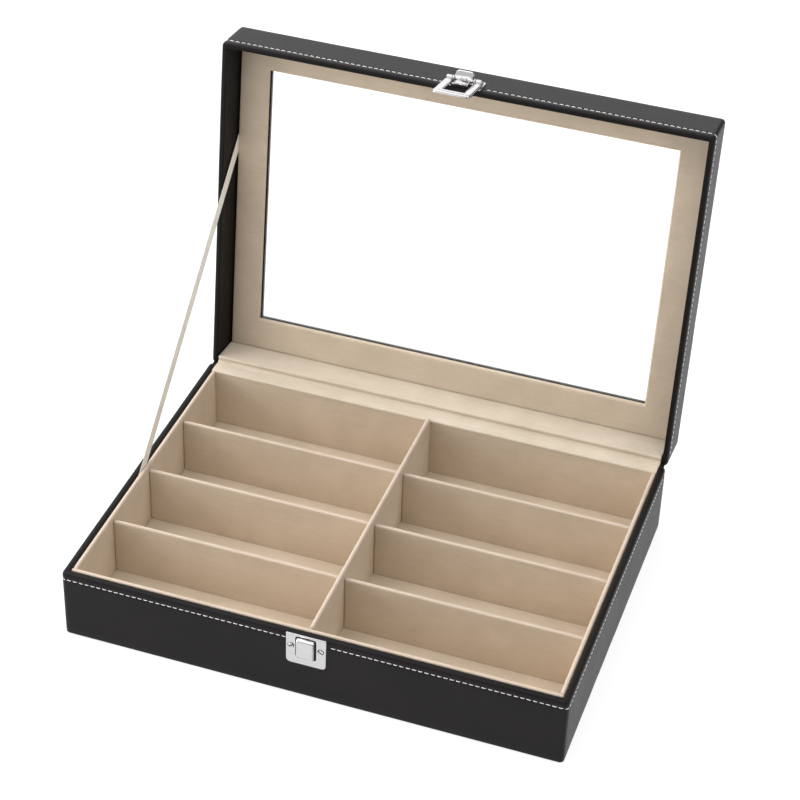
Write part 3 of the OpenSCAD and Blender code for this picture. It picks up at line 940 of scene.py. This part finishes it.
def strike_plate():
    """The plate on the base: a raised boss, a thin near-black line round it that paints the shade
    of a pressed line, and a slot above whose inside is painted dark as shade.
    """
    z0 = strike_low[2]
    z1 = strike_high[2]
    mid = (z0 + z1) / 2
    hx = (strike_high[0] - strike_low[0]) / 2
    hz = (z1 - z0) / 2
    radii = (3, 3, 0.5, 0.5)

    def sheet(shrink, out):
        r = [max(v - shrink, 0.15) for v in radii]
        return rounded_outline(CLASP_X, mid, hx - shrink, hz - shrink, r), out

    plate = front_loft([sheet(0, 0.05), sheet(0, 0.55), sheet(0.2, 0.85), sheet(0.5, 1.0),
                        sheet(1.1, 1.0)])
    boss_low = z0 + 6.8
    boss_high = boss_low + 15

    def boss(shrink, low, high, out, r):
        zc = (boss_low + low + boss_high - high) / 2
        hh = (boss_high - high - boss_low - low) / 2
        return rounded_outline(CLASP_X, zc, 5.9 - shrink, hh, r), out

    knob = front_loft([boss(0, 0, 0, 0.8, 1.0), boss(0, 0.1, 0.3, 2.4, 1.0),
                       boss(0.12, 0.25, 0.7, 3.1, 1.0), boss(0.4, 0.5, 1.2, 3.65, 0.9),
                       boss(0.8, 0.9, 1.7, 3.8, 0.8), boss(1.1, 1.3, 2.1, 3.8, 0.7),
                       boss(1.3, 1.5, 2.35, 3.6, 0.6), boss(1.6, 1.8, 2.7, 3.55, 0.5)])

    def slot(half_x, half_z, r, out):
        return rounded_outline(CLASP_X, z1 - 1.25, half_x, half_z, r), out

    def pressed(half_x, half_z, out):
        middle = (boss_low + boss_high) / 2 - 0.1
        return rounded_outline(CLASP_X, middle, half_x, half_z, 1.8), out

    slot_lip = front_loft([slot(3.4, 0.95, 0.3, 0.9), slot(3.3, 0.85, 0.25, 1.15),
                           slot(3.0, 0.62, 0.2, 1.15)])
    # The slot's inside and the line round the boss are thin sheets in near-black metal: painted
    # shade.
    slot_shade = front_loft([slot(2.85, 0.5, 0.2, 1.0), slot(2.85, 0.5, 0.2, 1.17)])
    line = front_loft([pressed(7.05, 8.6, 0.9), pressed(7.0, 8.55, 1.02)])
    metal_piece("strike_plate_metal", [plate, knob, slot_lip], [line, slot_shade], "base",
                "strike_plate", 28)


def screw(x, z, slot_turn, base_out=1.0):
    """A slotted screw head: a low dome split by a groove, and a near-black disc below it, a
    little wider than the head, that paints the shade in the groove and round the head.
    """
    r = 1.9
    half_slot = 0.4
    steps = 14
    rings = ((1.0, 0.0), (1.0, 0.3), (0.93, 0.52), (0.75, 0.7), (0.45, 0.8))
    a = math.radians(slot_turn)
    halves = []
    for side in (1, -1):
        points = []
        for share, out in rings:
            radius = r * share
            lim = math.asin(min(1, half_slot / radius))
            for i in range(steps + 1):
                t = lim + (math.pi - 2 * lim) * i / steps
                u = radius * math.cos(t)
                v = side * radius * math.sin(t)
                points.append((x + u * math.cos(a) - v * math.sin(a), -HALF_D - base_out - out,
                               z + u * math.sin(a) + v * math.cos(a)))
        faces = grid_faces(len(rings), steps + 1)
        left = [k * (steps + 1) for k in range(len(rings))]
        faces.append(tuple(left[-1] + i for i in range(steps + 1)))
        faces.append(tuple(left + [k + steps for k in reversed(left)]))
        halves.append((points, faces))
    # The near-black disc under the head paints the shade in its groove and round its edge.
    disc = [(x + r * 0.97 * u, z + r * 0.97 * v) for u, v in circle(24)]
    wide = [(x + 1.2 * (u - x), z + 1.2 * (w - z)) for u, w in disc]
    floor = front_loft([(wide, base_out - 0.1), (wide, base_out + 0.06), (disc, base_out + 0.06),
                        (disc, base_out + 0.2)])
    return merged(*halves), floor


def screws(name, z, node, body):
    """The two screws of a plate, turned against each other."""
    heads, shade_discs = zip(*[screw(CLASP_X + x, z, turn) for x, turn in ((-9.9, 35), (9.9, -35))])
    metal_piece(name, heads, shade_discs, body, node, 30)


def mount_plate():
    """The plate on the lid, with an ear for the pin at either side, and its middle below the hasp
    painted near-black as shade.
    """
    z0 = LID_RIM + 1.2
    z1 = LID_RIM + 14.2
    mid = (z0 + z1) / 2
    hz = (z1 - z0) / 2

    def sheet(shrink, out):
        r = max(1.0 - shrink, 0.2)
        return rounded_outline(CLASP_X, mid, 13 - shrink, hz - shrink, r), out

    parts = [front_loft([sheet(0, 0.05), sheet(0, 0.6), sheet(0.2, 0.88), sheet(0.5, 1.0),
                         sheet(1.0, 1.0)])]
    for side in (-1, 1):
        x0 = CLASP_X + (6.6 if side > 0 else -7.6)
        outline = [(0.7, -1.9), (PIN_OUT, -1.9)]
        outline += [(PIN_OUT + 1.9 * math.cos(math.radians(t)), 1.9 * math.sin(math.radians(t)))
                    for t in range(-75, 90, 15)]
        outline += [(PIN_OUT, 1.9), (0.7, 1.9)]
        points = []
        for x, grow in ((x0, -0.15), (x0 + 0.15, 0), (x0 + 0.85, 0), (x0 + 1.0, -0.15)):
            for out, h in outline:
                points.append((x, -HALF_D - out - grow * (out > 1), PIN_Z + h * (1 + grow / 2)))
        parts.append((points, tube_faces(4, len(outline))))
    # A near-black sheet over the middle of the plate: painted shade under the hasp.
    slab_outline = rounded_outline(CLASP_X, z0 + 2.57, 7.6, 2.6, 0.3)
    middle = front_loft([(slab_outline, 0.05), (slab_outline, 1.05)])
    metal_piece("mount_plate_metal", parts, [middle], "lid", "clasp_mount_plate", 28)


def pin():
    rod = tube_x(-12.5, 12.5, PIN_Y, PIN_Z, 0.75, bevel=0.2, sides=20)
    metal_piece("pin_metal", [rod], [], "lid", "clasp_pin", 30)


def spring():
    """A round-wire coil on the pin, with one leg that rests on the mounting plate."""
    turns = 4.25
    wire = 0.34
    coil = 1.25
    half = 1.6
    line = []
    count = int(turns * 20)
    for i in range(count + 1):
        a = 2 * math.pi * i / 20
        x = CLASP_X - half + 2 * half * i / count
        line.append(Vector((x, PIN_Y + coil * math.cos(a), PIN_Z + coil * math.sin(a))))
    leg = line[-1] + Vector((0, 0.2, 0.8))
    line += [leg, leg + Vector((0, 0.35, 1.2)), leg + Vector((0, 0.5, 2.6))]
    points = []
    sides = 8
    side_way = Vector((1, 0, 0))
    for i, p in enumerate(line):
        way = (line[min(i + 1, len(line) - 1)] - line[max(i - 1, 0)]).normalized()
        side_way = (side_way - way * side_way.dot(way)).normalized()
        up = way.cross(side_way)
        points += [p + wire * (u * side_way + v * up) for u, v in circle(sides)]
    coiled = (points, tube_faces(len(line), sides))
    metal_piece("spring_metal", [coiled], [], "lid", "clasp_spring", 50)


def slab(x0, x1, z0, z1, near, far, r=0.2):
    """A plate from near to far out of the front face, its outer edges eased.
    x0 and x1 are measured from the clasp's middle."""
    x0 += CLASP_X
    x1 += CLASP_X
    half_x = (x1 - x0) / 2
    half_z = (z1 - z0) / 2
    layers = []
    for inset, out in ((0, near), (0, far - 0.25), (0.1, far - 0.08), (0.3, far)):
        layers.append((rounded_outline((x0 + x1) / 2, (z0 + z1) / 2, half_x - inset,
                                       half_z - inset, r), out))
    return front_loft(layers)


BOW_WIDE = 5.9
BOW_LOW = 1.5
BOW_RISE = 1.95


def bow_section():
    """(distance in from the outer edge, distance out from the front face): a half round."""
    section = []
    for i in range(13):
        t = math.radians(180 - 15 * i)
        section.append((BOW_WIDE / 2 * (1 + math.cos(t)),
                        BOW_LOW + BOW_RISE * math.sin(t) ** 0.8))
    return section + [(BOW_WIDE - 0.15, BOW_LOW - 0.1), (BOW_WIDE - 0.7, 2.2), (0.7, 2.2),
                      (0.15, BOW_LOW - 0.1)]


def bow(z0, top):
    """Two arms and the bar below them, pressed from sheet, so hollow at the back."""
    points = []
    line = None
    section = bow_section()
    for inset, out in section:
        x = 12.8 - inset
        z = z0 + inset
        r = max(2.7 - inset, 0.6)
        tip = 12.8 - BOW_WIDE / 2 - (inset - BOW_WIDE / 2) * 0.6
        line = [(-tip, top + 1.5), (-x + 0.08 * (x - tip), top + 0.9)]
        line += [(-x, h) for h in (top, top - 6, top - 14, z + r + 4, z + r + 1)]
        for cx, start in ((-x + r, 180), (x - r, 270)):
            line += quarter(cx, z + r, r, start, 6)
            if start == 180:
                line += [(w * x, z) for w in (-0.5, 0, 0.5)]
        line += [(x, h) for h in (z + r + 1, z + r + 4, top - 14, top - 6, top)]
        line += [(x - 0.08 * (x - tip), top + 0.9), (tip, top + 1.5)]
        depths = [out] * len(line)
        depths[0] = depths[-1] = 2.2 + (out - 2.2) * 0.5
        points += [(CLASP_X + a, -HALF_D - d, b) for (a, b), d in zip(line, depths)]
    columns = len(line)
    rows = len(section)
    faces = grid_faces(rows, columns, wrap_rows=True)
    faces.append(tuple(i * columns for i in range(rows)))
    faces.append(tuple(i * columns + columns - 1 for i in range(rows)))
    return points, faces


def thumb_tab():
    """The short tab above the pin that is pressed to unlatch."""
    half = 6.2
    long = 5.4
    lean = 70
    layers = []
    for shrink, out in ((0.5, 0.0), (0.1, 0.15), (0.0, 0.4), (0.0, 0.9), (0.15, 1.2), (0.6, 1.4)):
        outline = rounded_outline(0, long / 2, half - shrink, long / 2 - shrink,
                                  (0.4, 0.4, 2.6, 2.6), 6)
        layers.append([(CLASP_X + x, PIN_Y + 0.2 - out, PIN_Z + 0.5 + z) for x, z in outline])
    points = [p for layer in layers for p in layer]
    return turned_on_pin(points, lean), tube_faces(len(layers), len(layers[0]))


def curl(x, z, radius, out):
    """A curled lip below the tongue: the lower part of a ring of round wire."""
    wire = 0.42
    rows = 19
    sides = 8
    points = []
    for i in range(rows):
        a = math.radians(185 + 170 * i / (rows - 1))
        for u, v in circle(sides):
            r = radius + wire * u
            points.append((x + r * math.cos(a), -HALF_D - out - wire * v, z + r * math.sin(a)))
    return points, tube_faces(rows, sides)


def hasp():
    """The rocking piece: a bow with eyes on the pin, a barrel, a tongue and a thumb tab."""
    bridge_low = PIN_Z - 5.4
    bright = [bow(strike_low[2] + 0.4, PIN_Z - 0.2),
              slab(-4.6, 4.6, bridge_low - 2, PIN_Z - 0.5, 1.7, 3.2, 0.9),
              tube_x(-3.4, 3.4, -HALF_D - 2.6, bridge_low - 1.6, 1.0),
              thumb_tab(),
              slab(-6.2, -3.4, bridge_low - 2.8, bridge_low - 1.1, 1.8, 2.5),
              curl(CLASP_X + 0.9, bridge_low - 0.9, 2.1, 2.4)]
    for x0, x1, r, bevel in ((-12.3, -7.4, 1.8, 0.8), (7.4, 12.3, 1.8, 0.8),
                             (-6.0, -2.0, 1.7, 0.35), (2.0, 6.0, 1.7, 0.35)):
        bright.append(tube_x(x0, x1, PIN_Y, PIN_Z, r, 0.82, bevel))
    # The tongue's slot, the bridge and a line on the bottom bar are in near-black metal: painted
    # shade. The bridge is bright metal on the real clasp.
    slot = slab(-0.4, 3.9, bridge_low + 0.2, bridge_low + 2.9, 3.0, 3.27, 0.4)
    bridge = slab(-7.7, 7.7, bridge_low, bridge_low + 2.4, 1.4, 2.2)
    line = slab(-8.6, 8.6, strike_low[2] + 1.4, strike_low[2] + 2.0, 2.6, 3.2)

    def tilted(parts):
        return [(turned_on_pin(points, -HASP_TILT), faces) for points, faces in parts]

    metal_piece("hasp_metal", tilted(bright), tilted([slot, bridge, line]), "hasp",
                "clasp_hasp", 32)


# ---- CAD nodes that stay, with better materials ----

def dress_kept_nodes():
    boards = ["base_bottom_board", "lid_top_frame"]
    boards += [f"{body}_wall_{side}" for body in ("base", "lid")
               for side in ("front", "back", "left", "right")]
    dressed = [(name, BOARD, "board") for name in boards]
    dressed.append(("window_pane", PANE, "clear_pane"))
    for name, material, slot in dressed:
        node = frame["nodes"][name]
        node.data.materials.clear()
        node.data.materials.append(material)


# ---- Stage, light and camera ----

def make_stage():
    s = Shader("pale_floor", grey(0.32), 0.9, Specular_IOR_Level=0.0)
    grain = s.noise(4, 3)
    s.paint(grain, (0.2, grey(0.31)), (0.8, grey(0.33)))
    s.bsdf.inputs["Emission Color"].default_value = (1, 1, 1, 1)
    s.bsdf.inputs["Emission Strength"].default_value = 0.80
    far = 6000
    corners = [(x * far, y * far, -0.1) for x, y in ((-1, -1), (1, -1), (1, 1), (-1, 1))]
    piece("floor", corners, [(0, 1, 2, 3)], s.material)


# name, place, aimed at, size, watts
LIGHTS = (
    ("overhead", (0, 0, 1.8), (0, 0, 0), (1.6, 1.6), 11),
    ("front", (-0.7, -1.0, 1.5), (0, 0, 0.05), (2.6, 2.2), 13.5),
    ("left", (-1.3, 0.3, 1.3), (0, 0, 0.05), (2.0, 2.0), 24),
    ("right", (1.3, -0.1, 1.4), (0, 0, 0.05), (2.0, 2.0), 15),
    ("back", (-0.7, 1.6, 1.15), (0, 0.1, 0.25), (2.8, 2.2), 27),
    ("low_front", (-0.9, -1.5, 0.6), (0, 0, 0.1), (1.0, 0.8), 3),
    ("low_left", (-1.2, -0.4, 0.45), (-0.1, -0.1, 0.1), (0.8, 0.6), 8))


def make_light():
    world = bpy.data.worlds.new("studio")
    world.use_nodes = True
    background = world.node_tree.nodes["Background"]
    background.inputs["Color"].default_value = (1, 1, 1, 1)
    background.inputs["Strength"].default_value = 0.12
    scene = bpy.context.scene
    scene.world = world
    for name, place, target, size, watts in LIGHTS:
        data = bpy.data.lights.new(name, "AREA")
        data.shape = "RECTANGLE"
        data.size, data.size_y = size
        data.energy = watts
        lamp = bpy.data.objects.new(name, data)
        scene.collection.objects.link(lamp)
        lamp.location = place
        way = Vector(target) - Vector(place)
        lamp.rotation_euler = way.to_track_quat("-Z", "Y").to_euler()
    scene.view_settings.view_transform = "Standard"
    scene.view_settings.look = "None"


CAMERA_PLACE = (0.372346, -1.118002, 1.029822)
CAMERA_RIGHT = (0.94516225, 0.3252654, 0.02950833)
CAMERA_UP = (-0.21726205, 0.55871126, 0.80039923)
CAMERA_BACK = (0.24385554, -0.76291818, 0.59874062)
FOCAL_LENGTH = 104.776


def make_camera():
    """A view from the front, the right and above, very slightly rolled."""
    data = bpy.data.cameras.new("camera")
    data.sensor_width = 36
    data.lens = FOCAL_LENGTH
    data.clip_start = 0.01
    data.clip_end = 50
    camera = bpy.data.objects.new("camera", data)
    bpy.context.scene.collection.objects.link(camera)
    axes = Matrix((CAMERA_RIGHT, CAMERA_UP, CAMERA_BACK))
    camera.matrix_world = Matrix.Translation(CAMERA_PLACE) @ axes.transposed().to_4x4()
    bpy.context.scene.camera = camera


make_camera()
make_light()
make_stage()
base_cover()
lid_cover()
stitches("base_stitches", BASE_TOP - STITCH_DROP, "base")
stitches("lid_stitches", LID_RIM + STITCH_DROP, "lid")
dividers_and_lining()
floor_cushion()
lid_panel()
hinge_cloth()
leather_spine()
ribbon_stay()
felt_pad()
strike_plate()
screws("strike_screw_heads", BASE_TOP - 9.4, "strike_screws", "base")
mount_plate()
screws("mount_screw_heads", LID_RIM + 11, "clasp_screws", "lid")
pin()
spring()
hasp()
dress_kept_nodes()
